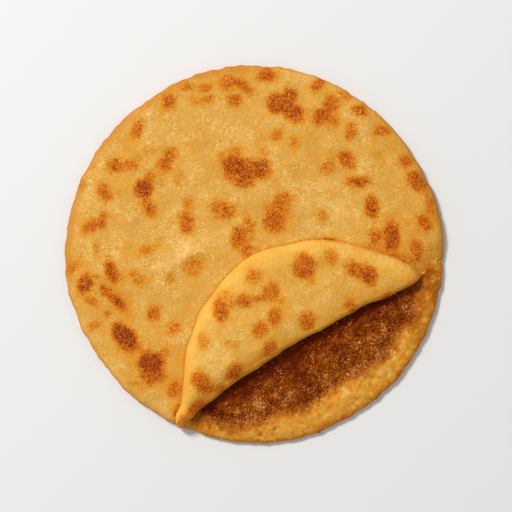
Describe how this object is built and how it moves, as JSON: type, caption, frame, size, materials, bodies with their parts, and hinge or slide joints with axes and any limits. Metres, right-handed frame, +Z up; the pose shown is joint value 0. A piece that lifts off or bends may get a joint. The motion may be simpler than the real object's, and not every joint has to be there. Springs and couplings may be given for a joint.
{
  "type": "sweet stuffed flatbread",
  "caption": "Round pan-browned flatbread with a brown sugar filling, its top layer folded back over itself to show the filling.",
  "frame": {"origin": "middle of the round bread, on the surface that it lies on", "axes": "+Z up through the bread's thickness; +X to the right and +Y away from the viewer who sees the fold at the lower right"},
  "size_m": [0.1824, 0.1822, 0.014],
  "materials": {
    "pale_dough": "cooked dough, pale and slightly porous, stained near the filling",
    "brown_sugar": "moist granular brown sugar with a sticky gloss",
    "browned_dough": "golden cooked dough with scattered brown scorch spots"
  },
  "bodies": {
    "root": {"lower_layer": "pale_dough", "filling": "brown_sugar", "upper_layer": "browned_dough"}
  },
  "joints": []
}
